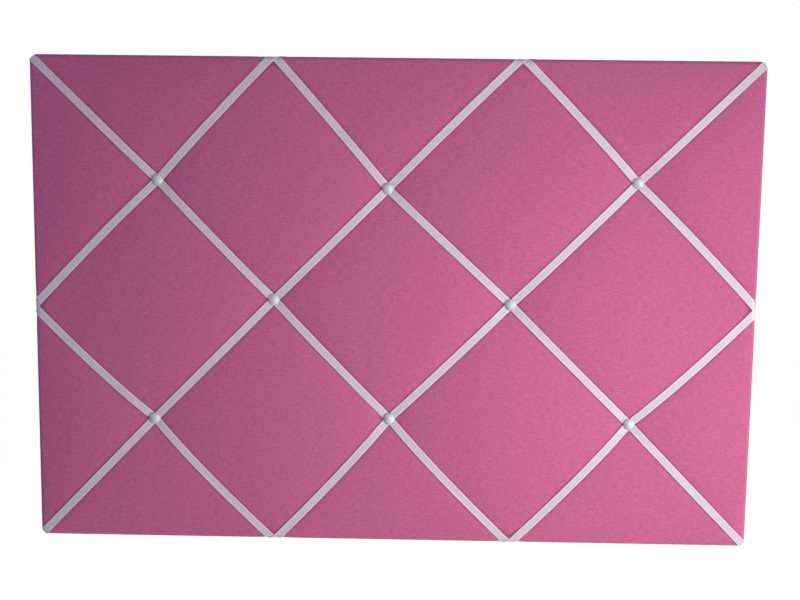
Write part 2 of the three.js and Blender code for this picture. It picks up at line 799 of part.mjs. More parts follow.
function ringGeometry() {
  const path = new THREE.Path();
  const bend = ringHalfWidth - RING_BEND;
  path.moveTo(CLEARANCE / 2, 0);
  path.lineTo(bend, 0);
  path.absarc(bend, -RING_BEND, RING_BEND, Math.PI / 2, 0, true);
  path.lineTo(ringHalfWidth, -RING_LEG);
  path.absarc(0, -RING_LEG, ringHalfWidth, 0, -Math.PI, true);
  path.lineTo(-ringHalfWidth, -RING_BEND);
  path.absarc(-bend, -RING_BEND, RING_BEND, Math.PI, Math.PI / 2, true);
  path.lineTo(-CLEARANCE / 2, 0);
  const isNew = (point, i, all) => i === 0 || point.distanceTo(all[i - 1]) > onLine;
  const points = path.getPoints(BEND_STEPS).filter(isNew);
  const sections = points.map((point, i) => {
    const ahead = points[Math.min(i + 1, points.length - 1)];
    const behind = points[Math.max(i - 1, 0)];
    const along = ahead.clone().sub(behind).normalize();
    const across = new THREE.Vector3(-along.y, along.x, 0);
    return Array.from({ length: WIRE_SIDES }, (unused, side) => {
      const angle = ((side + 0.5) / WIRE_SIDES) * 2 * Math.PI;
      const out = across.clone().multiplyScalar(Math.cos(angle)).setZ(Math.sin(angle));
      return flat(point).addScaledVector(out, RING_WIRE / 2);
    });
  });
  return loft(sections).rotateX(ringTilt);
}

function screwGeometry() {
  const head = SCREW_HEAD_DIAMETER / 2;
  const shank = SCREW_SHANK_DIAMETER / 2;
  const profile = new THREE.Path();
  profile.moveTo(0, -SCREW_LENGTH);
  profile.lineTo(shank, SCREW_POINT - SCREW_LENGTH);
  profile.lineTo(shank, 0);
  profile.lineTo(head, 0);
  profile.lineTo(head, SCREW_HEAD_HEIGHT / 2);
  profile.quadraticCurveTo(head, SCREW_HEAD_HEIGHT, head / 2, SCREW_HEAD_HEIGHT);
  profile.lineTo(0, SCREW_HEAD_HEIGHT);
  const turned = new THREE.LatheGeometry(profile.getPoints(DOME_STEPS), SCREW_SIDES);
  const slots = [[RECESS_LENGTH, RECESS_WIDTH], [RECESS_WIDTH, RECESS_LENGTH]].map(([x, z]) => {
    const slot = new THREE.BoxGeometry(x, 2 * RECESS_DEPTH, z);
    return slot.translate(0, SCREW_HEAD_HEIGHT, 0);
  });
  return cut(turned, slots).rotateX(-Math.PI / 2);
}

function screwHole() {
  const radius = SCREW_SHANK_DIAMETER / 2 + CLEARANCE;
  const depth = SCREW_LENGTH + CLEARANCE;
  const hole = new THREE.CylinderGeometry(radius, radius, depth, HOLE_SIDES);
  return hole.rotateX(Math.PI / 2).translate(0, -screwDrop, screwSeat + depth / 2);
}

const hangers = [
  { side: 'left', place: new THREE.Vector3(-hangerX, hangerY, hingeZ) },
  { side: 'right', place: new THREE.Vector3(hangerX, hangerY, hingeZ) },
];

// Assembly

const lines = ribbonLines();
const tailStaples = ribbonStaples(lines);
const backStaples = cardStaples();
const holesOf = (staple) => legHoles().map((hole) => placed(hole, staple));
const tailHoles = tailStaples.flatMap(holesOf);
const backHoles = backStaples.flatMap(holesOf);
const screwHoles = hangers.map(({ place }) => screwHole().translate(...place.toArray()));

const boardHoles = [...shankHoles, ...tailHoles, ...backHoles, ...screwHoles];
addPiece('base_board', cut(boardGeometry(), boardHoles), materials.fibreboard);
addPiece('wadding', cut(waddingGeometry(), shankHoles), materials.wadding);
addPiece('cover_fabric', cut(coverGeometry(), shankHoles), materials.cloth);
addPiece('backing_card', cut(cardGeometry(), [...backHoles, ...screwHoles]), materials.card);
lines.forEach((line) => addPiece(line.name, ribbonGeometry(line), materials.ribbon));
studs.forEach((stud, i) => addPiece(numbered('stud', i), studGeometry(stud), materials.pearl));
tailStaples.forEach((staple, i) => {
  addPiece(numbered('ribbon_staple', i), placed(stapleGeometry(), staple), materials.steel);
});
backStaples.forEach((staple, i) => {
  addPiece(numbered('card_staple', i), placed(stapleGeometry(), staple), materials.steel);
});
for (const { side, place } of hangers) {
  const at = place.toArray();
  const strap = cut(strapGeometry(), [screwHole()]);
  addPiece(`hanger_strap_${side}`, strap.translate(...at), materials.steel);
  addPiece(`hanger_ring_${side}`, ringGeometry().translate(...at), materials.steel);
  const screw = screwGeometry().translate(0, -screwDrop, screwSeat);
  addPiece(`hanger_screw_${side}`, screw.translate(...at), materials.steel);
}

board.rotation.x = Math.PI / 2;

export default board;
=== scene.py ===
"""Looks of a french memo board: padded linen, a lattice of satin ribbon, pearl studs and a card back.

Metres. The front faces -Y, +Z is up the board and the wall is behind it, at +Y.
A height is a distance out from the wall, so it runs along -Y.
"""

import json
import math

import bmesh
import bpy
import numpy as np
from mathutils import Matrix, Vector, noise


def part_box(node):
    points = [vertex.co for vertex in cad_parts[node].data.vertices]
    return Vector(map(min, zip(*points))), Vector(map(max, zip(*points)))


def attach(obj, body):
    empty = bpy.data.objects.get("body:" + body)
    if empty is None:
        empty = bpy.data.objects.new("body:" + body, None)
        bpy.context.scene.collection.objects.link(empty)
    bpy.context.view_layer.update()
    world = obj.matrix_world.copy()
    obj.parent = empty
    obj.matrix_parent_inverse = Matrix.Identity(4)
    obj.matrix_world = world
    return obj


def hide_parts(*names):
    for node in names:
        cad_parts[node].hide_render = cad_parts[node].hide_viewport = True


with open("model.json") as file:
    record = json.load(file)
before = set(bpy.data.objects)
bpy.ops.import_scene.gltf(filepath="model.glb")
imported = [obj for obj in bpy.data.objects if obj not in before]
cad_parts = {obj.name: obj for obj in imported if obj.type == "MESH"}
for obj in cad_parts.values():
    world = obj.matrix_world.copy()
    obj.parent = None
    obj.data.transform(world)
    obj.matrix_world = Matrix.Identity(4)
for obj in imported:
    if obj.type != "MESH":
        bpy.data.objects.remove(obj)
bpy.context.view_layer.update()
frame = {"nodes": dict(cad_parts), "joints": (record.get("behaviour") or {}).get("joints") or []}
MM = 0.001

# Lattice of ribbons, counted in cells
COLUMNS = 3
ROWS = 2
LEFT_CROSSING_DROP = 5 * MM
TOP_CROSSING_SHIFT = 2.5 * MM

# Padding
PAD_AT_RIM = 6.5 * MM
PAD_AT_STUD = 2.6 * MM
PAD_UNDER_RIBBON = 7 * MM
PAD_AT_CROWN = 11.5 * MM
STUD_PULL_REACH = 18 * MM
RIM_FADE = 50 * MM
RIM_SWELL = 0.3
EDGE_ROLL = 4 * MM
ROLL_REACH = 3 * EDGE_ROLL
LUMP_DEPTH = 0.3 * MM
LUMP_SIZE = 45 * MM

# Cloth and ribbon
CLOTH_THICKNESS = 0.7 * MM
COVER_OVER_PAD = 1.0 * MM
HEM = 30 * MM
HEM_BEND = 1.2 * MM
RIBBON_WIDTH = 6.5 * MM
RIBBON_THICKNESS = 0.25 * MM
RIBBON_GAP = 0.05 * MM
GROOVE_DEPTH = 0.35 * MM
GROOVE_WIDTH = 1.8 * MM
SELVEDGE_WIDTH = 1.0 * MM
SELVEDGE_RISE = 0.1 * MM
CHANNEL_MARGIN = 0.5 * MM
TURN_TO_EDGE = 12 * MM
CROSSING_LIFT = 0.4 * MM
CROSSING_REACH = 12 * MM
EDGE_OVERRUN = 1.0 * MM
EDGE_BOW = 1.1 * MM
EDGE_BOW_SLOPE = 0.0025
EDGE_DENT = 0.8 * MM
CORNER_DENT = 0.3 * MM
DENT_REACH = 14 * MM
CORNER_RADIUS = 6 * MM
TAIL_PAST_HEM = 15 * MM
TAIL_STEP = 4 * MM

# Studs, hangers and bevels
STUD_DIAMETER = 9.5 * MM
STUD_RISE = 3.2 * MM
STUD_SHELL = 0.6 * MM
STUD_LIP = 0.25 * MM
STUD_PRESS = 0.8 * MM
SHANK_DIAMETER = 1.6 * MM
SHANK_POINT = 2.5 * MM
RING_WIRE = 2.2 * MM
RING_BEND = 2.5 * MM
RING_LEG = 4 * MM
SCREW_HEAD_HEIGHT = 2 * MM
SCREW_SHANK_DIAMETER = 2.8 * MM
SCREW_POINT = 3 * MM
RECESS_WIDTH = 0.9 * MM
RECESS_LENGTH = 3.6 * MM
RECESS_DEPTH = 1.1 * MM
CARD_BEVEL = 0.3 * MM
STRAP_BEVEL = 0.2 * MM
STAPLE_BEVEL = 0.15 * MM
BEVEL_FROM_DEG = 40

# Cloth simulation
SIM_FRAMES = 20
SIM_PRESSURE = 2.0
SIM_CAP = 1.5 * MM

# Fineness of the meshes
CELL_STEPS = 19
EDGE_BIAS = 0.4
ROLL_STEPS = 6
WALL_STEPS = 3
BEND_STEPS = 3
HEM_STEPS = 4
RIBBON_STEP = 2.5 * MM
SELVEDGE_POINTS = 3
TURNED_SIDES = 48
DOME_STEPS = 10
WIRE_SIDES = 20
BEND_POINTS = 6
ARC_POINTS = 20
DRIFT_ROUNDS = 3
ON_LINE = 1e-6

# Weave, ribs and colours
THREAD_PITCH = 0.62 * MM
SLUB_WIDTH = 1.1 * MM
SLUB_LENGTH = 6 * MM
FLECK_SIZE = 1.5 * MM
UPRIGHT_SHARE = 0.6
FLECK_SHARE = 0.7
RIB_WIDTH = 0.5 * MM
RIB_LENGTH = 5 * MM
LINEN_COLOURS = ((0.562, 0.112, 0.259), (0.655, 0.145, 0.313), (0.718, 0.174, 0.353))
# Painted shade: the linen's colour is darkened towards this tint beside the ribbons, where they shade the
# cloth.
PAINTED_CREASE_SHADE = (0.66, 0.60, 0.64)
RIBBON_COLOURS = ((0.66, 0.60, 0.68), (0.79, 0.72, 0.79))
SELVEDGE_COLOURS = ((0.90, 0.71, 0.81), (0.96, 0.77, 0.87))
PEARL_COLOURS = ((0.69, 0.75, 0.75), (0.75, 0.80, 0.79))
# Painted shade: a darker grey round each stud's edge, for the shade that the curved edge shows.
PAINTED_RIM_SHADE_COLOURS = ((0.40, 0.44, 0.45), (0.40, 0.44, 0.45))
HARDBOARD_COLOURS = ((0.23, 0.145, 0.085), (0.33, 0.22, 0.135))
FIBREBOARD_COLOURS = ((0.36, 0.23, 0.12), (0.48, 0.32, 0.18))
WADDING_COLOURS = ((0.80, 0.79, 0.76), (0.92, 0.91, 0.88))
PLATE_COLOURS = ((0.50, 0.51, 0.53), (0.64, 0.65, 0.67))
SCREW_COLOURS = ((0.52, 0.50, 0.44), (0.66, 0.63, 0.55))
WIRE_COLOURS = ((0.55, 0.56, 0.58), (0.70, 0.71, 0.72))

# Camera and light
CAMERA_PLACE = (0.0230, -1.0089, 0.1319)
CAMERA_TURN_DEG = (82.656, -0.685, 1.125)
CAMERA_LENS = 54.0
FLOOR_DROP = 0.55
FLOOR_HALF = 4.0
FLOOR_GREY = (0.9, 0.9, 0.9)
FLOOR_WHITE_SHARE = 0.85
FLOOR_GLOW = 1.15
FILL_COLOUR = (0.82, 0.88, 1.0)
FILL_STRENGTH = 0.01
WHITE = (1.0, 1.0, 1.0)


# Places and layers, read from the frame


def rear_of(node):
    low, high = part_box(node)
    return -high.y


cover_low, cover_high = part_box("cover_fabric")
half_width = (cover_high.x - cover_low.x) / 2
half_height = (cover_high.z - cover_low.z) / 2
cell_x = 2 * half_width / COLUMNS
cell_z = 2 * half_height / ROWS
hem_rear = rear_of("cover_fabric")
pad_base = rear_of("wadding")
board_rear = rear_of("base_board")
rim_top = pad_base + PAD_AT_RIM + COVER_OVER_PAD
wall_top = rim_top - EDGE_ROLL
ribbon_spacing = cell_x * cell_z / math.hypot(cell_x, cell_z)
ribbon_half = RIBBON_WIDTH / 2 / ribbon_spacing
channel = (RIBBON_WIDTH / 2 + CHANNEL_MARGIN) / ribbon_spacing


def middle_of(node):
    low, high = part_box(node)
    return (low + high) / 2


def stud_nodes():
    return sorted(name for name in frame["nodes"] if name.startswith("stud_"))


def regular_place(p, q):
    """The regular place of lattice lines p = column + row and q = column - row."""
    x = (p + q) / 2 * cell_x - half_width
    z = (p - q) / 2 * cell_z - half_height
    return x, z


def on_board(p, q):
    column = (p + q) / 2
    row = (p - q) / 2
    inside_columns = (column > -ON_LINE) & (column < COLUMNS + ON_LINE)
    return inside_columns & (row > -ON_LINE) & (row < ROWS + ON_LINE)


def stud_drifts():
    """How far each stud lies from the regular place of its crossing."""
    drifts = {}
    for node in stud_nodes():
        centre = middle_of(node)
        column = round(2 * (centre.x + half_width) / cell_x) / 2
        row = round(2 * (centre.z + half_height) / cell_z) / 2
        p = round(column + row)
        q = round(column - row)
        x, z = regular_place(p, q)
        drifts[p, q] = np.array((centre.x - x, centre.z - z))
    return drifts


def edge_drifts():
    """How far two hand-set crossings lie along their edges from their regular places."""
    left_middle = (ROWS // 2, -(ROWS // 2))
    top_right = (COLUMNS + ROWS - 1, COLUMNS - ROWS - 1)
    return {
        left_middle: np.array((0.0, -LEFT_CROSSING_DROP)),
        top_right: np.array((TOP_CROSSING_SHIFT, 0.0)),
    }


STUD_DRIFTS = stud_drifts()
DRIFTS = {**STUD_DRIFTS, **edge_drifts()}


def cell_drifts(i, j):
    """Drifts at a cell's four crossings; one that is off the board carries on from the others."""
    corners = ((i, j), (i + 1, j), (i + 1, j + 1), (i, j + 1))
    drifts = [DRIFTS.get(corner, np.zeros(2)) for corner in corners]
    for k, corner in enumerate(corners):
        if not on_board(*corner):
            drifts[k] = drifts[(k + 1) % 4] + drifts[(k + 3) % 4] - drifts[(k + 2) % 4]
            break
    return drifts


def plan(p, q):
    """Places on the board of arrays of lattice numbers, with the hand-set drift."""
    p = np.asarray(p, float)
    q = np.asarray(q, float)
    x, z = regular_place(p, q)
    i = np.floor(p).astype(int)
    j = np.floor(q).astype(int)
    for cell in set(zip(i.ravel().tolist(), j.ravel().tolist())):
        mask = (i == cell[0]) & (j == cell[1])
        s = p[mask] - cell[0]
        t = q[mask] - cell[1]
        shares = ((1 - s) * (1 - t), s * (1 - t), s * t, (1 - s) * t)
        for share, drift in zip(shares, cell_drifts(*cell)):
            x[mask] += share * drift[0]
            z[mask] += share * drift[1]
    return x, z


def lattice_of(x, z):
    """The lattice numbers of places on the board: the reverse of plan()."""
    drift_x = np.zeros_like(x)
    drift_z = np.zeros_like(z)
    for _ in range(DRIFT_ROUNDS):
        column = (x - drift_x + half_width) / cell_x
        row = (z - drift_z + half_height) / cell_z
        p = column + row
        q = column - row
        at_x, at_z = plan(p, q)
        regular_x, regular_z = regular_place(p, q)
        drift_x = at_x - regular_x
        drift_z = at_z - regular_z
    return p, q


# Height of the padded cover


def smooth_step(value, end):
    share = np.clip(value / end, 0, 1)
    return share * share * (3 - 2 * share)


def from_line(number):
    """Distance to the nearest lattice line, level across the ribbon's channel."""
    return np.maximum(np.abs(number - np.round(number)), channel)


def lumps(x, z):
    places = np.stack([x / LUMP_SIZE, z / LUMP_SIZE, np.zeros_like(x)], -1)
    values = [noise.noise(Vector(place)) for place in places.reshape(-1, 3)]
    return LUMP_DEPTH * np.array(values).reshape(x.shape)


def rim_fade(from_edge):
    """Rises from 0 at the rim to 1 further in, steepest at the rim."""
    left = np.clip(1 - from_edge / RIM_FADE, 0, 1)
    return 1 - left * left


def cover_height(p, q):
    """Height of the cover: swollen in each diamond, drawn in by the ribbons and most by the studs."""
    x, z = plan(p, q)
    from_edge = np.minimum(half_width - np.abs(x), half_height - np.abs(z))
    fade = rim_fade(from_edge)
    inwards = np.clip(from_edge / (2 * RIM_FADE), 0, 1)
    swell = np.sqrt(np.sin(np.pi * from_line(p)) * np.sin(np.pi * from_line(q)))
    swell = swell * (RIM_SWELL + (1 - RIM_SWELL) * inwards)
    pull = np.zeros_like(x)
    for stud in STUD_DRIFTS:
        stud_x, stud_z = plan([stud[0]], [stud[1]])
        pull += np.exp(-np.hypot(x - stud_x[0], z - stud_z[0]) / STUD_PULL_REACH)
    rise = PAD_UNDER_RIBBON - PAD_AT_RIM + (PAD_AT_CROWN - PAD_UNDER_RIBBON) * swell
    thickness = PAD_AT_RIM + fade * (rise - (PAD_UNDER_RIBBON - PAD_AT_STUD) * pull)
    return pad_base + COVER_OVER_PAD + thickness + fade * swell * lumps(x, z)


def from_ribbons(x, z):
    """Distance on the board to the nearest ribbon's middle line."""
    nearest = np.full(np.shape(x), np.inf)
    for ribbon in ribbon_lines():
        for a, b, bow in ribbon.runs():
            heading = unit(b - a)
            across = turned(heading)
            length = np.linalg.norm(b - a)
            along = np.clip((x - a[0]) * heading[0] + (z - a[1]) * heading[1], 0, length)
            side = bow * bulge(along / length)
            away_x = x - a[0] - heading[0] * along - across[0] * side
            away_z = z - a[1] - heading[1] * along - across[1] * side
            nearest = np.minimum(nearest, np.hypot(away_x, away_z))
    return nearest


def crease(x, z):
    """1 under the ribbons and along their sides, falling to 0 at a groove's width from them: it sets the
    groove's depth and how far the linen's colour is darkened as painted shade.
    """
    return np.clip(1 - (from_ribbons(x, z) - RIBBON_WIDTH / 2) / GROOVE_WIDTH, 0, 1)


def groove(x, z):
    """How deep the cloth is drawn in along both sides of each ribbon, beside the ribbon only."""
    beside = np.clip(from_ribbons(x, z) / (RIBBON_WIDTH / 2), 0, 1)
    return GROOVE_DEPTH * crease(x, z) * beside ** 3


# Meshes


def new_object(name, points, faces, material, smooth=True):
    mesh = bpy.data.meshes.new(name)
    mesh.from_pydata([tuple(point) for point in points], [], faces)
    mesh.validate()
    mesh.materials.append(material)
    mesh.polygons.foreach_set("use_smooth", [smooth] * len(mesh.polygons))
    piece = bpy.data.objects.new(name, mesh)
    bpy.context.scene.collection.objects.link(piece)
    return piece


def out_points(x, z, height):
    """Points of the frame from places on the board and their heights."""
    height = np.broadcast_to(height, np.shape(x))
    return np.stack([x, -height, z], -1)


def arc(x, y, radius, start, end, steps):
    """Points from one angle to another on a circle about (x, y)."""
    angles = [start + (end - start) * k / steps for k in range(steps + 1)]
    return [(x + radius * math.cos(angle), y + radius * math.sin(angle)) for angle in angles]


def lathe(profile, sides):
    """Points and faces of a turned solid whose profile (radius, height) starts and ends on the axis."""
    points = [Vector((0, 0, profile[0][1]))]
    for radius, height in profile[1:-1]:
        for side in range(sides):
            angle = 2 * math.pi * side / sides
            points.append(Vector((radius * math.cos(angle), radius * math.sin(angle), height)))
    points.append(Vector((0, 0, profile[-1][1])))
    last = len(points) - 1
    rings = len(profile) - 2
    faces = []
    for side in range(sides):
        ahead = (side + 1) % sides
        faces.append((0, 1 + ahead, 1 + side))
        for ring in range(rings - 1):
            a = 1 + ring * sides
            b = a + sides
            faces.append((a + side, a + ahead, b + ahead, b + side))
        top = 1 + (rings - 1) * sides
        faces.append((last, top + side, top + ahead))
    return points, faces


def fix_normals(piece):
    mesh = bmesh.new()
    mesh.from_mesh(piece.data)
    bmesh.ops.recalc_face_normals(mesh, faces=mesh.faces)
    mesh.to_mesh(piece.data)
    mesh.free()


def placed_solid(name, place, shape, material):
    """A solid made of points, moved to their place, and faces that look outwards."""
    points, faces = shape
    piece = new_object(name, [place @ point for point in points], faces, material)
    fix_normals(piece)
    return piece


def add_modifier(piece, kind, **values):
    modifier = piece.modifiers.new(kind.lower(), kind)
    for key, value in values.items():
        setattr(modifier, key, value)
    return modifier


def bake_modifiers(piece):
    """Replaces a piece's mesh by what its modifiers make of it."""
    graph = bpy.context.evaluated_depsgraph_get()
    mesh = bpy.data.meshes.new_from_object(piece.evaluated_get(graph))
    piece.modifiers.clear()
    piece.data = mesh


def finish_piece(piece, body, node):
    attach(piece, body)
    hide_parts(node)


# Front net: triangles and quads along the ribbon lines


def cell_fractions():
    """Steps across one cell, closer together near the ribbons."""
    even = np.arange(CELL_STEPS + 1) / CELL_STEPS
    bunched = (1 - np.cos(np.pi * even)) / 2
    inner = (1 - EDGE_BIAS) * even + EDGE_BIAS * bunched
    step = GROOVE_WIDTH / 2 / ribbon_spacing
    near = [0.0, ribbon_half / 2, ribbon_half, ribbon_half + step, ribbon_half + 2 * step]
    start = ribbon_half + 4 * step
    return [*near, *(start + (1 - 2 * start) * inner), *[1 - line for line in reversed(near[1:])]]


def lattice_lines(first, last):
    fractions = cell_fractions()
    lines = [cell + step for cell in range(first, last) for step in fractions]
    return np.array([*lines, float(last)])


def front_net():
    """Knots (p, q) and faces of the front, and its rim in order."""
    p_lines = lattice_lines(0, COLUMNS + ROWS)
    q_lines = lattice_lines(-ROWS, COLUMNS)
    p_grid, q_grid = np.meshgrid(p_lines, q_lines, indexing="ij")
    kept = on_board(p_grid, q_grid)
    number = np.full(kept.shape, -1)
    number[kept] = np.arange(kept.sum())
    faces = []
    for i in range(len(p_lines) - 1):
        for j in range(len(q_lines) - 1):
            corners = (number[i, j], number[i, j + 1], number[i + 1, j + 1], number[i + 1, j])
            face = [int(corner) for corner in corners if corner >= 0]
            if len(face) >= 3:
                faces.append(face)
    return p_grid[kept], q_grid[kept], faces, rim_of(faces)


def rim_of(faces):
    edges = {}
    for face in faces:
        for a, b in zip(face, face[1:] + face[:1]):
            if (b, a) in edges:
                del edges[b, a]
            else:
                edges[a, b] = True
    following = dict(edges.keys())
    start = next(iter(following))
    rim = [start]
    while following[rim[-1]] != start:
        rim.append(following[rim[-1]])
    return rim


def roll_room(from_edge):
    return EDGE_ROLL * np.maximum(0, 1 - from_edge / ROLL_REACH)


def front_place(x, z):
    """Moves places near an edge inwards, to leave room for the rolled edge."""
    room_x = roll_room(half_width - np.abs(x))
    room_z = roll_room(half_height - np.abs(z))
    return x - np.sign(x) * room_x, z - np.sign(z) * room_z


def outline_place(x, z, inset):
    """Places on the outline, with rounded corners, or on a line parallel to it."""
    into_x = np.maximum(0, np.abs(x) - half_width + CORNER_RADIUS)
    into_z = np.maximum(0, np.abs(z) - half_height + CORNER_RADIUS)
    into = np.maximum(np.hypot(into_x, into_z), ON_LINE)
    share = np.where(into_x * into_z > 0, CORNER_RADIUS / into, 1)
    x = x - np.sign(x) * into_x * (1 - share)
    z = z - np.sign(z) * into_z * (1 - share)
    return x * (1 - inset / half_width), z * (1 - inset / half_height)


def edge_crossings():
    """Lattice numbers of the crossings on the edges, without the board's corners."""
    crossings = []
    for p in range(COLUMNS + ROWS + 1):
        for q in range(-ROWS, COLUMNS + 1):
            on_side = p + q in (0, 2 * COLUMNS)
            on_level = p - q in (0, 2 * ROWS)
            if on_board(p, q) and on_side != on_level:
                crossings.append((p, q))
    return crossings


def edge_dent(x, z):
    """How far the ribbons press the edge in, at places round the rim."""
    dent = np.zeros_like(x)
    for p, q in edge_crossings():
        at_x, at_z = plan([p], [q])
        away = np.hypot(x - at_x[0], z - at_z[0])
        dent = np.maximum(dent, EDGE_DENT * (1 - smooth_step(away, DENT_REACH)))
    return dent


NET_P, NET_Q, NET_FACES, NET_RIM = front_net()


def edge_rings():
    """Rings of points from the front's rim over the rolled edge, down the side and along the hem."""
    x, z = plan(NET_P[NET_RIM], NET_Q[NET_RIM])
    start_x, start_z = front_place(x, z)
    dent = edge_dent(x, z)
    end_x, end_z = outline_place(x, z, dent)
    rings = []
    for step in range(1, ROLL_STEPS + 1):
        angle = math.pi / 2 * step / ROLL_STEPS
        share = math.sin(angle)
        at_x = start_x + (end_x - start_x) * share
        at_z = start_z + (end_z - start_z) * share
        rings.append(out_points(at_x, at_z, wall_top + EDGE_ROLL * math.cos(angle)))
    for step in range(1, WALL_STEPS + 1):
        share = step / WALL_STEPS
        height = wall_top + (hem_rear + HEM_BEND - wall_top) * share
        rings.append(out_points(*outline_place(x, z, dent * (1 - share)), height))
    for step in range(1, BEND_STEPS + 1):
        angle = math.pi / 2 * step / BEND_STEPS
        at_x, at_z = outline_place(x, z, HEM_BEND * (1 - math.cos(angle)))
        rings.append(out_points(at_x, at_z, hem_rear + HEM_BEND * (1 - math.sin(angle))))
    for step in range(1, HEM_STEPS + 1):
        inset = HEM_BEND + (HEM - HEM_BEND) * step / HEM_STEPS
        rings.append(out_points(*outline_place(x, z, inset), hem_rear))
    return rings


def join_rings(rim, first, rings):
    """Faces between a rim and the rings that follow it, whose points start at first."""
    faces = []
    count = len(rim)
    upper = list(rim)
    for ring in range(rings):
        lower = [first + ring * count + i for i in range(count)]
        for i in range(count):
            j = (i + 1) % count
            faces.append((upper[j], upper[i], lower[i], lower[j]))
        upper = lower
    return faces


def front_points(drop):
    x, z = plan(NET_P, NET_Q)
    at_x, at_z = front_place(x, z)
    return out_points(at_x, at_z, cover_height(NET_P, NET_Q) - groove(x, z) - drop)


# Cloth cover


def held_points():
    """Front points that the ribbons or the rim hold, and that the padding can't push out."""
    on_ribbon_p = np.abs(NET_P - np.round(NET_P)) < channel + ON_LINE
    on_ribbon_q = np.abs(NET_Q - np.round(NET_Q)) < channel + ON_LINE
    held = on_ribbon_p | on_ribbon_q
    held[NET_RIM] = True
    return np.flatnonzero(held)


def inflate(piece, free_count):
    """Pushes the cloth out by simulated pressure, between the ribbons that hold it."""
    group = piece.vertex_groups.new(name="held")
    edge_points = range(free_count, len(piece.data.vertices))
    group.add([int(i) for i in held_points()] + list(edge_points), 1.0, "REPLACE")
    start = np.array([vertex.co for vertex in piece.data.vertices])
    cloth = add_modifier(piece, "CLOTH")
    settings = cloth.settings
    settings.quality = 5
    settings.mass = 0.3
    settings.tension_stiffness = 40
    settings.compression_stiffness = 40
    settings.shear_stiffness = 20
    settings.bending_stiffness = 2
    settings.use_pressure = True
    settings.uniform_pressure_force = SIM_PRESSURE
    settings.vertex_group_mass = group.name
    settings.effector_weights.gravity = 0
    cloth.point_cache.frame_end = SIM_FRAMES
    scene = bpy.context.scene
    for step in range(1, SIM_FRAMES + 1):
        scene.frame_set(step)
    bake_modifiers(piece)
    scene.frame_set(1)
    moved = np.array([vertex.co for vertex in piece.data.vertices]) - start
    length = np.linalg.norm(moved, axis=1, keepdims=True)
    capped = moved * np.minimum(1, SIM_CAP / np.maximum(length, ON_LINE))
    piece.data.vertices.foreach_set("co", (start + capped).ravel())
    piece.vertex_groups.clear()


def build_cover(material):
    front = front_points(0)
    rings = edge_rings()
    points = np.concatenate([front, *rings])
    faces = NET_FACES + join_rings(NET_RIM, len(front), len(rings))
    piece = new_object("linen_cover", points, faces, material)
    # Painted shade: this attribute darkens the linen's colour beside the ribbons.
    shaded = piece.data.attributes.new("crease", "FLOAT", "POINT")
    unshaded = np.zeros(len(points) - len(front))
    shaded.data.foreach_set("value", np.append(crease(*plan(NET_P, NET_Q)), unshaded))
    inflate(piece, len(front))
    add_modifier(piece, "SUBSURF", levels=1, render_levels=1)
    add_modifier(piece, "SOLIDIFY", thickness=CLOTH_THICKNESS, offset=-1)
    finish_piece(piece, "board", "cover_fabric")


def build_wadding(material):
    front = front_points(COVER_OVER_PAD)
    x, z = plan(NET_P[NET_RIM], NET_Q[NET_RIM])
    side = outline_place(x, z, COVER_OVER_PAD)
    rings = [out_points(*side, wall_top), out_points(*side, pad_base)]
    points = np.concatenate([front, *rings])
    faces = NET_FACES + join_rings(NET_RIM, len(front), len(rings))
    base = [len(points) - len(NET_RIM) + i for i in range(len(NET_RIM))]
    faces.append(base)
    piece = new_object("polyester_wadding", points, faces, material)
    finish_piece(piece, "board", "wadding")


# Ribbons


def across_stations():
    """(place across the ribbon, rise of its upper face): flat, with a bead along each selvedge."""
    half = RIBBON_WIDTH / 2
    inner = half - SELVEDGE_WIDTH
    middle = [(place * inner, 0.0) for place in (-1, -0.5, 0, 0.5, 1)]
    bead = [(half - SELVEDGE_WIDTH / 2, SELVEDGE_RISE), (half, 0.0)]
    return [(-place, rise) for place, rise in reversed(bead)] + middle + bead


class Ribbon:
    """One ribbon: a row of sections along a lattice line, over both edges and on to the back."""

    def __init__(self, name, number, first, last):
        self.name = name
        self.is_upper = name.startswith("rise")
        self.sections = []
        along = np.arange(first, last + 1)
        fixed = np.full_like(along, number)
        x, z = plan(along, fixed) if self.is_upper else plan(fixed, along)
        self.places = list(np.stack([x, z], -1))
        steps = [edge_step(place) for place in self.places]
        self.ways_out = [np.zeros(2) if step.all() else step for step in steps]

    def add_front(self, centre, across, heading):
        """A section lying on the cover, along the direction across."""
        stretch = 1 / abs(heading[0] * across[1] - heading[1] * across[0])
        offsets, rises = np.array(across_stations()).T
        x = centre[0] + across[0] * offsets * stretch
        z = centre[1] + across[1] * offsets * stretch
        p, q = lattice_of(x, z)
        base = cover_height(p, q) + RIBBON_GAP + self.lift(centre)
        level = np.maximum(base, base.mean())
        top = level + RIBBON_THICKNESS + rises
        self.sections.append((out_points(x, z, level), out_points(x, z, top)))

    def crossings(self):
        """Where this ribbon crosses others; the last ones lie a little beyond the edges."""
        return [place + way * EDGE_OVERRUN for place, way in zip(self.places, self.ways_out)]

    def runs(self):
        """(start, end, bow) of each run between crossings; the bow is to the left of the run."""
        places = self.crossings()
        runs = []
        for k in range(len(places) - 1):
            a = places[k]
            b = places[k + 1]
            amount = EDGE_BOW - EDGE_BOW_SLOPE * (a[1] + b[1]) / 2
            towards_edge = np.sign(turned(b - a) @ (self.ways_out[k] + self.ways_out[k + 1]))
            runs.append((a, b, amount * towards_edge))
        return runs

    def lift(self, centre):
        """How far this ribbon rises to pass over another, at crossings and at the edges."""
        nearest = min(np.linalg.norm(crossing - centre) for crossing in self.crossings())
        return self.lift_at(nearest)

    def lift_at(self, distance):
        if not self.is_upper:
            return 0.0
        return CROSSING_LIFT * (1 - smooth_step(distance, CROSSING_REACH))


def bulge(share):
    """Height of a bow of height 1 at a share of its run; at the ends its slope is 4."""
    return 4 * share * (1 - share)


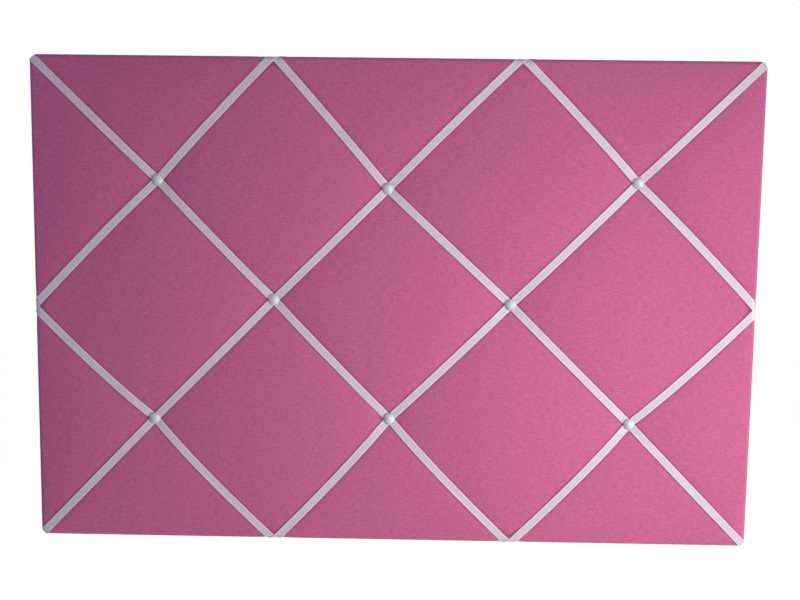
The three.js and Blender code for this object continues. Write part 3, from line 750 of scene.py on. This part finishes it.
def edge_step(place):
    """The way out over the edge at a place on the rim, as signs along x and z; both are set at a corner."""
    on_side = abs(place[0]) > half_width - ON_LINE
    on_level = abs(place[1]) > half_height - ON_LINE
    return np.array((np.sign(place[0]) * on_side, np.sign(place[1]) * on_level))


def ribbon_lines():
    ribbons = []
    for q in range(1 - ROWS, COLUMNS):
        last = min(2 * COLUMNS - q, 2 * ROWS + q)
        ribbons.append(Ribbon(f"rise_{q + ROWS}", q, abs(q), last))
    for p in range(1, COLUMNS + ROWS):
        first = max(-p, p - 2 * ROWS)
        last = min(p, 2 * COLUMNS - p)
        ribbons.append(Ribbon(f"fall_{p}", p, first, last))
    return ribbons


def unit(vector):
    return vector / np.linalg.norm(vector)


def turned(vector):
    """A direction in the board's plane, turned a quarter."""
    return np.array((-vector[1], vector[0]))


def front_run(ribbon):
    """The sections on the front, from one rim to the other."""
    for a, b, bow in ribbon.runs():
        heading = unit(b - a)
        across = turned(heading)
        count = round(np.linalg.norm(b - a) / RIBBON_STEP)
        for step in range(count):
            share = (step + 0.5) / count
            centre = a + (b - a) * share + across * bow * bulge(share)
            from_edge = min(half_width - abs(centre[0]), half_height - abs(centre[1]))
            if from_edge < EDGE_ROLL + ON_LINE:
                continue
            edge_share = max(0.0, 1 - (from_edge - EDGE_ROLL) / TURN_TO_EDGE)
            along_edge = edge_direction(centre, across)
            ribbon.add_front(centre, unit(across * (1 - edge_share) + along_edge * edge_share), heading)


def edge_direction(centre, across):
    """The direction along the nearest edge, or across a corner, on the same side as across."""
    to_side = half_width - abs(centre[0])
    to_level = half_height - abs(centre[1])
    if abs(to_side - to_level) < CORNER_RADIUS:
        return across
    along = np.array((0.0, 1.0)) if to_side < to_level else np.array((1.0, 0.0))
    return along * np.sign(along @ across)


class EdgeRun:
    """One ribbon's sections over an edge or a corner, down the side and on to its tail on the back."""

    def __init__(self, ribbon, end):
        a, b, bow = ribbon.runs()[end]
        place = ribbon.places[end]
        step = edge_step(place)
        straight = unit(b - a) if end else unit(a - b)
        end_slope = 4 * bow / np.linalg.norm(b - a)
        heading = unit(straight - turned(unit(b - a)) * end_slope)
        self.ribbon = ribbon
        self.is_corner = bool(step.all())
        self.outwards = unit(step)
        self.along = turned(self.outwards)
        self.lean = heading @ self.outwards
        self.drift = np.zeros(2) if self.is_corner else heading / self.lean - self.outwards
        if self.is_corner:
            round_in = CORNER_RADIUS * (math.sqrt(2) - 1)
            self.outline = place - self.outwards * round_in
            self.roll = EDGE_ROLL * math.sqrt(2) - round_in
        else:
            self.outline = place - self.drift * EDGE_OVERRUN
            self.roll = EDGE_ROLL
        self.sections = []

    def rise(self, travel):
        away = abs(travel - EDGE_OVERRUN) / self.lean
        return RIBBON_GAP + (0.0 if self.is_corner else self.ribbon.lift_at(away))

    def dent_at(self, place):
        """How far the edge is pressed in at a place on it."""
        return CORNER_DENT if self.is_corner else edge_dent(*place)

    def add(self, inset, height, travel, angle, rise, bend=1.0, dent_share=0.0):
        """A section whose upper face looks out at an angle: 0 to the front, 90 degrees to the side."""
        centre = self.outline - self.outwards * inset + self.drift * travel
        out = math.sin(angle)
        lower = []
        upper = []
        for offset, bead in across_stations():
            turn = 0.0
            sideways = offset / self.lean
            if self.is_corner:
                turn = offset / CORNER_RADIUS * bend
                sideways = offset * (1 - bend) + CORNER_RADIUS * math.sin(turn)
            inwards = CORNER_RADIUS * (1 - math.cos(turn))
            facing = self.outwards * math.cos(turn) + self.along * math.sin(turn)
            at = centre - self.outwards * inwards + self.along * sideways
            point = np.array((at[0], -height, at[1]))
            normal = np.array((facing[0] * out, -math.cos(angle), facing[1] * out))
            under = rise - dent_share * self.dent_at(at + self.outwards * inset)
            lower.append(point + normal * under)
            upper.append(point + normal * (under + RIBBON_THICKNESS + bead))
        self.sections.append((np.array(lower), np.array(upper)))

    def add_roll(self, travel):
        for k in range(ROLL_STEPS + 1):
            angle = math.pi / 2 * k / ROLL_STEPS
            along = travel + EDGE_ROLL * angle
            share = math.sin(angle)
            inset = self.roll * (1 - share)
            height = wall_top + EDGE_ROLL * math.cos(angle)
            self.add(inset, height, along, angle, self.rise(along), share, share)

    def add_wall(self, travel, depth):
        for k in range(1, WALL_STEPS + 1):
            share = k / WALL_STEPS
            along = travel + depth * share
            self.add(0.0, wall_top - depth * share, along, math.pi / 2, self.rise(along), 1.0, 1 - share)

    def add_bend(self, travel):
        for k in range(1, BEND_STEPS + 1):
            angle = math.pi / 2 * k / BEND_STEPS
            inset = HEM_BEND * (1 - math.cos(angle))
            height = hem_rear + HEM_BEND * (1 - math.sin(angle))
            rise = RIBBON_GAP + (self.rise(travel) - RIBBON_GAP) * (1 - k / BEND_STEPS)
            self.add(inset, height, travel + HEM_BEND * angle, math.pi / 2 + angle, rise)

    def add_tail(self, travel):
        hem = [(HEM / 2, hem_rear), (HEM, hem_rear)]
        bare = [(HEM + TAIL_STEP, board_rear), (HEM + TAIL_PAST_HEM, board_rear)]
        for inset, height in hem + bare:
            self.add(inset, height, travel + inset, math.pi, RIBBON_GAP, 0.0)

    def run(self):
        depth = wall_top - hem_rear - HEM_BEND
        self.add_roll(-EDGE_ROLL)
        travel = EDGE_ROLL * (math.pi / 2 - 1)
        self.add_wall(travel, depth)
        self.add_bend(travel + depth)
        self.add_tail(travel + depth + HEM_BEND * (math.pi / 2 - 1))
        return self.sections


def ribbon_faces(count, width):
    """Faces of a closed strip of sections, each with a lower and an upper row of points."""
    faces = []
    ring = 2 * width
    for s in range(count - 1):
        a = s * ring
        b = a + ring
        for i in range(width - 1):
            faces.append((a + i, b + i, b + i + 1, a + i + 1))
            faces.append((a + width + i, a + width + i + 1, b + width + i + 1, b + width + i))
        faces.append((a, a + width, b + width, b))
        faces.append((a + width - 1, b + width - 1, b + ring - 1, a + ring - 1))
    last = (count - 1) * ring
    for i in range(width - 1):
        faces.append((i, i + 1, width + i + 1, width + i))
        faces.append((last + i + 1, last + i, last + width + i, last + width + i + 1))
    return faces


def build_ribbon(ribbon, satin, selvedge):
    front_run(ribbon)
    start = match_sides(EdgeRun(ribbon, 0).run(), ribbon.sections)
    finish = match_sides(EdgeRun(ribbon, -1).run(), ribbon.sections)
    sections = start[::-1] + ribbon.sections + finish
    width = len(across_stations())
    points = np.concatenate([np.concatenate(section) for section in sections])
    piece = new_object(f"satin_ribbon_{ribbon.name}", points, ribbon_faces(len(sections), width), satin)
    piece.data.materials.append(selvedge)
    mark_selvedge(piece, width)
    fix_normals(piece)
    finish_piece(piece, "board", f"ribbon_{ribbon.name}")


def match_sides(sections, run):
    """Turns end sections round where they start on the other side from the run on the front."""
    across = run[0][0][-1] - run[0][0][0]
    end = sections[0][0][-1] - sections[0][0][0]
    if across @ end > 0:
        return sections
    return [(lower[::-1], upper[::-1]) for lower, upper in sections]


def mark_selvedge(piece, width):
    """Gives the faces of both selvedges the second material."""
    ring = 2 * width
    for polygon in piece.data.polygons:
        columns = [vertex % ring % width for vertex in polygon.vertices]
        if max(columns) < SELVEDGE_POINTS or min(columns) >= width - SELVEDGE_POINTS:
            polygon.material_index = 1


# Studs, rings and screws


def stud_profile(shank_length):
    """A pointed shank under a hollow dome with a rounded lip, from the point up to the crown."""
    radius = STUD_DIAMETER / 2
    shank = SHANK_DIAMETER / 2
    ball = (radius ** 2 + STUD_RISE ** 2) / (2 * STUD_RISE)
    centre = STUD_RISE - ball
    inner = ball - STUD_SHELL
    profile = [(0.0, -shank_length), (shank, SHANK_POINT - shank_length)]
    start = math.acos(shank / inner)
    end = math.asin((STUD_LIP - centre) / inner)
    profile += arc(0.0, centre, inner, start, end, DOME_STEPS)
    profile += [(radius - STUD_SHELL, 0.0), (radius - STUD_LIP / 2, 0.0), (radius, STUD_LIP)]
    start = math.asin((2 * STUD_LIP - centre) / ball)
    dome = arc(0.0, centre, ball, start, math.pi / 2, DOME_STEPS)
    return [*profile, *dome[:-1], (0.0, STUD_RISE)]


OUT_OF_FRONT = Matrix.Rotation(math.pi / 2, 4, "X")
OUT_OF_BACK = Matrix.Rotation(-math.pi / 2, 4, "X")


def mark_painted_rim_shade(piece, centre):
    """Gives the faces round a stud's lip the second material: painted shade, darker along the dome's edge.
    """
    for polygon in piece.data.polygons:
        away = math.hypot(polygon.center.x - centre.x, polygon.center.z - centre.z)
        if away > STUD_DIAMETER / 2 - STUD_LIP:
            polygon.material_index = 1


def build_stud(node, pearl, painted_rim_shade):
    low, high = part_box(node)
    crown = -low.y
    shape = lathe(stud_profile(high.y - low.y - STUD_RISE), TURNED_SIDES)
    centre = (low + high) / 2
    place = Matrix.Translation((centre.x, STUD_RISE + STUD_PRESS - crown, centre.z)) @ OUT_OF_FRONT
    piece = placed_solid(f"pearl_{node}", place, shape, pearl)
    # Painted shade: the second material darkens the stud's rim.
    piece.data.materials.append(painted_rim_shade)
    mark_painted_rim_shade(piece, centre)
    finish_piece(piece, "board", node)


def ring_path(half):
    """The centre line of a ring this wide: a straight bar, two bent corners, two legs and a half round."""
    corner = arc(half - RING_BEND, -RING_BEND, RING_BEND, math.pi / 2, 0.0, BEND_POINTS)
    half_round = arc(0.0, -RING_LEG, half, 0.0, -math.pi, ARC_POINTS)
    mirrored = [(-x, y) for x, y in reversed(corner)]
    return [Vector(point) for point in [(0.0, 0.0), *corner, *half_round, *mirrored]]


def bent_wire(path):
    """Points and faces of a closed wire along a path in its plane."""
    points = []
    faces = []
    for k, at in enumerate(path):
        ahead = (k + 1) % len(path)
        along = (path[ahead] - path[k - 1]).normalized()
        across = Vector((-along.y, along.x))
        a = k * WIRE_SIDES
        b = ahead * WIRE_SIDES
        for i in range(WIRE_SIDES):
            angle = 2 * math.pi * i / WIRE_SIDES
            flat = at + across * RING_WIRE / 2 * math.cos(angle)
            points.append(Vector((flat.x, RING_WIRE / 2 * math.sin(angle), flat.y)))
            j = (i + 1) % WIRE_SIDES
            faces.append((a + i, a + j, b + j, b + i))
    return points, faces


def joint_of(body):
    return next(joint for joint in frame["joints"] if joint["child"] == body)


def build_ring(side, material):
    node = f"hanger_ring_{side}"
    low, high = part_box(node)
    pivot = Vector(joint_of(f"ring_{side}")["pos_m"])
    half = (high.x - low.x - RING_WIRE) / 2
    lean = math.asin((high.y - RING_WIRE / 2 - pivot.y) / (RING_LEG + half))
    place = Matrix.Translation(pivot) @ Matrix.Rotation(lean, 4, "X")
    piece = placed_solid(f"d_ring_{side}", place, bent_wire(ring_path(half)), material)
    finish_piece(piece, f"ring_{side}", node)


def screw_profile(head, length):
    shank = SCREW_SHANK_DIAMETER / 2
    profile = [(0.0, -length), (shank, SCREW_POINT - length), (shank, 0.0), (head, 0.0)]
    for k in range(DOME_STEPS):
        angle = math.pi / 2 * k / DOME_STEPS
        round_in = head / 2 * (1 - math.cos(angle))
        rise = SCREW_HEAD_HEIGHT / 2 * (1 + math.sin(angle))
        profile.append((head - round_in, rise))
    profile.append((head / 2, SCREW_HEAD_HEIGHT))
    profile.append((0.0, SCREW_HEAD_HEIGHT))
    return profile


def cross_recess(place):
    """Two bars across each other, for cutting a screw's recess."""
    mesh = bmesh.new()
    on_head = place @ Matrix.Translation((0, 0, SCREW_HEAD_HEIGHT))
    for length, width in ((RECESS_LENGTH, RECESS_WIDTH), (RECESS_WIDTH, RECESS_LENGTH)):
        size = Matrix.Diagonal((length, width, 2 * RECESS_DEPTH, 1))
        bmesh.ops.create_cube(mesh, size=1, matrix=on_head @ size)
    data = bpy.data.meshes.new("recess_cutter")
    mesh.to_mesh(data)
    mesh.free()
    cutter = bpy.data.objects.new("recess_cutter", data)
    bpy.context.scene.collection.objects.link(cutter)
    return cutter


def build_screw(side, material):
    node = f"hanger_screw_{side}"
    low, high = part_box(node)
    centre = (low + high) / 2
    head = (high.x - low.x) / 2
    length = high.y - low.y - SCREW_HEAD_HEIGHT
    place = Matrix.Translation((centre.x, high.y - SCREW_HEAD_HEIGHT, centre.z)) @ OUT_OF_BACK
    shape = lathe(screw_profile(head, length), TURNED_SIDES)
    piece = placed_solid(f"pan_screw_{side}", place, shape, material)
    cutter = cross_recess(place)
    add_modifier(piece, "BOOLEAN", operation="DIFFERENCE", object=cutter, use_self=True)
    bake_modifiers(piece)
    bpy.data.objects.remove(cutter)
    finish_piece(piece, "board", node)


# Materials


class Look:
    """The nodes of a material or of the world, and the shader that they lead to."""

    def __init__(self, owner, shader, **values):
        owner.use_nodes = True
        self.owner = owner
        self.nodes = owner.node_tree.nodes
        self.links = owner.node_tree.links
        self.shader = self.nodes[shader]
        self.fill_in(self.shader, values)

    def fill_in(self, node, values):
        """Sets a node's settings, in small letters, and its sockets, with _ for a space in their names."""
        for key, value in values.items():
            if key.islower():
                setattr(node, key, value)
            else:
                self.feed(node.inputs[key.replace("_", " ")], value)

    def feed(self, socket, value):
        """Links a socket to another node's output, or gives it a plain value."""
        if isinstance(value, bpy.types.NodeSocket):
            self.links.new(value, socket)
        else:
            socket.default_value = value

    def add(self, kind, **values):
        node = self.nodes.new(f"ShaderNode{kind}")
        self.fill_in(node, values)
        return node

    def maths(self, operation, first, second):
        node = self.add("Math", operation=operation)
        self.feed(node.inputs[0], first)
        self.feed(node.inputs[1], second)
        return node.outputs[0]

    def coordinates(self):
        return self.add("TexCoord").outputs["Object"]

    def split(self):
        return self.add("SeparateXYZ", Vector=self.coordinates()).outputs

    def joined(self, x, y):
        return self.add("CombineXYZ", X=x, Y=y).outputs[0]

    def streaks(self, coordinates, scale, detail=2.0):
        """Noise stretched along the axes by different scales."""
        mapping = self.add("Mapping", Scale=scale, Vector=coordinates)
        texture = self.add("TexNoise", Scale=1.0, Detail=detail, Vector=mapping.outputs[0])
        return texture.outputs["Fac"]

    def ramp(self, grain, colours, stops):
        """A colour that goes from one tone to the next where the grain passes the stops."""
        ramp = self.add("ValToRGB", Fac=grain)
        elements = ramp.color_ramp.elements
        while len(elements) < len(stops):
            elements.new(0.5)
        for element, colour, stop in zip(elements, colours, stops):
            element.position = stop
            element.color = (*colour, 1.0)
        return ramp.outputs["Color"]

    def paint(self, colour):
        self.feed(self.shader.inputs["Base Color"], colour)

    def bump(self, height, distance, strength):
        bump = self.add("Bump", Distance=distance, Strength=strength, Height=height)
        self.feed(self.shader.inputs["Normal"], bump.outputs["Normal"])

    def show_white(self, white, share, output):
        """Shows a white shader, to this share, to the camera and to what gloss or glass sends on."""
        rays = self.add("LightPath").outputs
        seen = self.maths("MAXIMUM", rays["Is Camera Ray"], rays["Is Glossy Ray"])
        seen = self.maths("MAXIMUM", seen, rays["Is Transmission Ray"])
        mix = self.add("MixShader")
        self.feed(mix.inputs[0], self.maths("MULTIPLY", seen, share))
        self.feed(mix.inputs[1], self.shader.outputs[0])
        self.feed(mix.inputs[2], white.outputs[0])
        self.feed(self.nodes[output].inputs["Surface"], mix.outputs[0])


def new_look(name, **values):
    return Look(bpy.data.materials.new(name), "Principled BSDF", **values)


def thread_wave(look, threads, axis):
    """Bands one thread wide; at a scale of 1 the texture repeats every pi / 10."""
    wave = look.add("TexWave", bands_direction=axis, Vector=threads, Distortion=0.6, Detail=1.0)
    look.feed(wave.inputs["Scale"], math.pi / 10 / THREAD_PITCH)
    return wave.outputs["Fac"]


def linen_material():
    """Slubbed threads that run on round the edges: across is x + y, up is z + y."""
    sheen = {"Sheen_Weight": 0.4, "Sheen_Roughness": 0.5}
    look = new_look("pink_linen", Roughness=0.88, Specular_IOR_Level=0.25, **sheen)
    x, y, z = look.split()
    threads = look.joined(look.maths("ADD", x, y), look.maths("ADD", z, y))
    upright = look.streaks(threads, (1 / SLUB_WIDTH, 1 / SLUB_LENGTH, 1.0))
    level = look.streaks(threads, (1 / SLUB_LENGTH, 1 / SLUB_WIDTH, 1.0))
    flecks = look.streaks(threads, (1 / FLECK_SIZE, 1 / FLECK_SIZE, 1.0))
    slubs = look.maths("ADD", level, look.maths("MULTIPLY", upright, UPRIGHT_SHARE))
    tone = look.maths("ADD", slubs, look.maths("MULTIPLY", flecks, FLECK_SHARE))
    evened = look.maths("MULTIPLY", tone, 1 / (1 + UPRIGHT_SHARE + FLECK_SHARE))
    plain = look.ramp(evened, LINEN_COLOURS, stops=(0.36, 0.5, 0.64))
    # Painted shade: the linen's colour is darkened beside the ribbons by the attribute and the tint below.
    painted_shade_share = look.add("Attribute", attribute_name="crease").outputs["Fac"]
    mixed = {"Factor": painted_shade_share, "A": plain, "B": (*PAINTED_CREASE_SHADE, 1.0)}
    look.paint(look.add("Mix", data_type="RGBA", blend_type="MULTIPLY", **mixed).outputs["Result"])
    weave = look.maths("MAXIMUM", thread_wave(look, threads, "X"), thread_wave(look, threads, "Y"))
    look.bump(look.maths("ADD", weave, slubs), distance=0.06 * MM, strength=0.4)
    return look.owner


def ribbon_material(name, colours, roughness, slant):
    """Satin with fine ribs across it; slant is 1 or -1, the way that the ribbon runs up."""
    look = new_look(name, Roughness=roughness, Sheen_Weight=0.15)
    x, y, z = look.split()
    up = look.maths("MULTIPLY", z, slant)
    places = look.joined(look.maths("ADD", x, up), look.maths("SUBTRACT", x, up))
    ribs = look.streaks(places, (1 / RIB_WIDTH, 1 / RIB_LENGTH, 1.0))
    look.paint(look.ramp(ribs, colours, stops=(0.35, 0.65)))
    look.bump(ribs, distance=0.06 * MM, strength=0.35)
    return look.owner


def pearl_material(name, colours):
    depth = {"Subsurface_Weight": 0.45, "Subsurface_Radius": (1.0, 1.0, 1.0), "Subsurface_Scale": 1 * MM}
    look = new_look(name, Roughness=0.35, Coat_Weight=0.7, Coat_Roughness=0.15, **depth)
    cloud = look.streaks(look.coordinates(), (900, 900, 900), detail=1.0)
    look.paint(look.ramp(cloud, colours, stops=(0.3, 0.7)))
    look.bump(cloud, distance=0.01 * MM, strength=0.2)
    return look.owner


def speckled_material(name, colours, scale, roughness, bump, metal=0.0, detail=4.0):
    """A plain solid with a fine grain in its colour and surface."""
    look = new_look(name, Roughness=roughness, Metallic=metal)
    grain = look.streaks(look.coordinates(), scale, detail)
    look.paint(look.ramp(grain, colours, stops=(0.3, 0.7)))
    look.bump(grain, distance=bump, strength=0.4)
    return look.owner


def hardboard_material():
    look = {"scale": (700, 700, 260), "roughness": 0.62, "bump": 0.08 * MM, "detail": 6.0}
    return speckled_material("brown_hardboard", HARDBOARD_COLOURS, **look)


def fibreboard_material():
    look = {"scale": (900, 900, 900), "roughness": 0.85, "bump": 0.1 * MM, "detail": 6.0}
    return speckled_material("bare_fibreboard", FIBREBOARD_COLOURS, **look)


def wadding_material():
    look = {"scale": (300, 300, 300), "roughness": 0.95, "bump": 0.3 * MM}
    return speckled_material("polyester_wadding", WADDING_COLOURS, **look)


def zinc_material(name, colours, roughness):
    look = {"scale": (2500, 2500, 600), "bump": 0.01 * MM, "metal": 1.0}
    return speckled_material(name, colours, roughness=roughness, **look)


def dress_node(node, material, bevel=0.0):
    """Gives a node of the frame, which stays as it is, a better material and softened edges."""
    piece = frame["nodes"][node]
    piece.data.materials.clear()
    piece.data.materials.append(material)
    if bevel:
        angle = math.radians(BEVEL_FROM_DEG)
        add_modifier(piece, "BEVEL", width=bevel, segments=2, limit_method="ANGLE", angle_limit=angle)


# Stage


def build_world():
    world = bpy.data.worlds.new("white_studio")
    bpy.context.scene.world = world
    look = Look(world, "Background", Color=(*FILL_COLOUR, 1.0), Strength=FILL_STRENGTH)
    backdrop = look.add("Background", Color=(*WHITE, 1.0))
    look.show_white(backdrop, 1.0, "World Output")


def floor_material():
    look = new_look("pale_floor", Roughness=0.9, Base_Color=(*FLOOR_GREY, 1.0))
    glow = look.add("Emission", Color=(*WHITE, 1.0), Strength=FLOOR_GLOW)
    look.show_white(glow, FLOOR_WHITE_SHARE, "Material Output")
    return look.owner


def build_floor():
    level = cover_low.z - FLOOR_DROP
    corners = [(-1, -1), (1, -1), (1, 1), (-1, 1)]
    points = [(FLOOR_HALF * x, FLOOR_HALF * y, level) for x, y in corners]
    new_object("floor", points, [(0, 1, 2, 3)], floor_material(), smooth=False)


def add_light(name, place, target, size, watts, colour=WHITE, spread_deg=180):
    light = bpy.data.lights.new(name, "AREA")
    light.size = size
    light.spread = math.radians(spread_deg)
    light.energy = watts
    light.color = colour
    lamp = bpy.data.objects.new(name, light)
    lamp.location = place
    lamp.rotation_euler = (Vector(target) - Vector(place)).to_track_quat("-Z", "Y").to_euler()
    bpy.context.scene.collection.objects.link(lamp)


def build_lights():
    warm = (1.0, 0.985, 0.96)
    cool = (0.42, 0.43, 1.0)
    middle = (0.0, 0.0, 0.0)
    low_middle = (0.04, 0.0, -0.09)
    low_right = (0.20, 0.0, -0.10)
    add_light("key", (1.0, -0.70, -0.22), low_middle, size=0.8, watts=2.58, colour=warm, spread_deg=70)
    add_light("front", (0.40, -1.15, 0.40), low_right, size=0.08, watts=0.55, spread_deg=60)
    add_light("cool", (-1.2, -0.20, 0.7), middle, size=0.6, watts=6.0, colour=cool)
    add_light("back", (-0.9, 1.3, 0.9), middle, size=0.8, watts=20.0)


def build_camera():
    data = bpy.data.cameras.new("camera")
    data.lens = CAMERA_LENS
    camera = bpy.data.objects.new("camera", data)
    camera.location = CAMERA_PLACE
    camera.rotation_euler = [math.radians(angle) for angle in CAMERA_TURN_DEG]
    bpy.context.scene.collection.objects.link(camera)
    bpy.context.scene.camera = camera


# The object


def build_board():
    build_wadding(wadding_material())
    build_cover(linen_material())
    for way, slant in (("rise", 1), ("fall", -1)):
        satin = ribbon_material(f"satin_{way}", RIBBON_COLOURS, roughness=0.42, slant=slant)
        selvedge = ribbon_material(f"selvedge_{way}", SELVEDGE_COLOURS, roughness=0.55, slant=slant)
        for ribbon in ribbon_lines():
            if ribbon.name.startswith(way):
                build_ribbon(ribbon, satin, selvedge)
    pearl = pearl_material("pearl_lacquer", PEARL_COLOURS)
    # Painted shade: the rim of each stud gets this darker pearl.
    painted_rim_shade = pearl_material("pearl_lip", PAINTED_RIM_SHADE_COLOURS)
    for node in stud_nodes():
        build_stud(node, pearl, painted_rim_shade)


def build_back():
    zinc = zinc_material("zinc_plate", PLATE_COLOURS, roughness=0.34)
    yellow_zinc = zinc_material("screw_zinc", SCREW_COLOURS, roughness=0.3)
    wire = zinc_material("staple_wire", WIRE_COLOURS, roughness=0.3)
    dress_node("base_board", fibreboard_material())
    dress_node("backing_card", hardboard_material(), CARD_BEVEL)
    for side in ("left", "right"):
        dress_node(f"hanger_strap_{side}", zinc, STRAP_BEVEL)
        build_ring(side, zinc)
        build_screw(side, yellow_zinc)
    for node in frame["nodes"]:
        if "staple" in node:
            dress_node(node, wire, STAPLE_BEVEL)


build_camera()
build_world()
build_floor()
build_lights()
build_board()
build_back()

bpy.context.scene.view_settings.view_transform = "Standard"
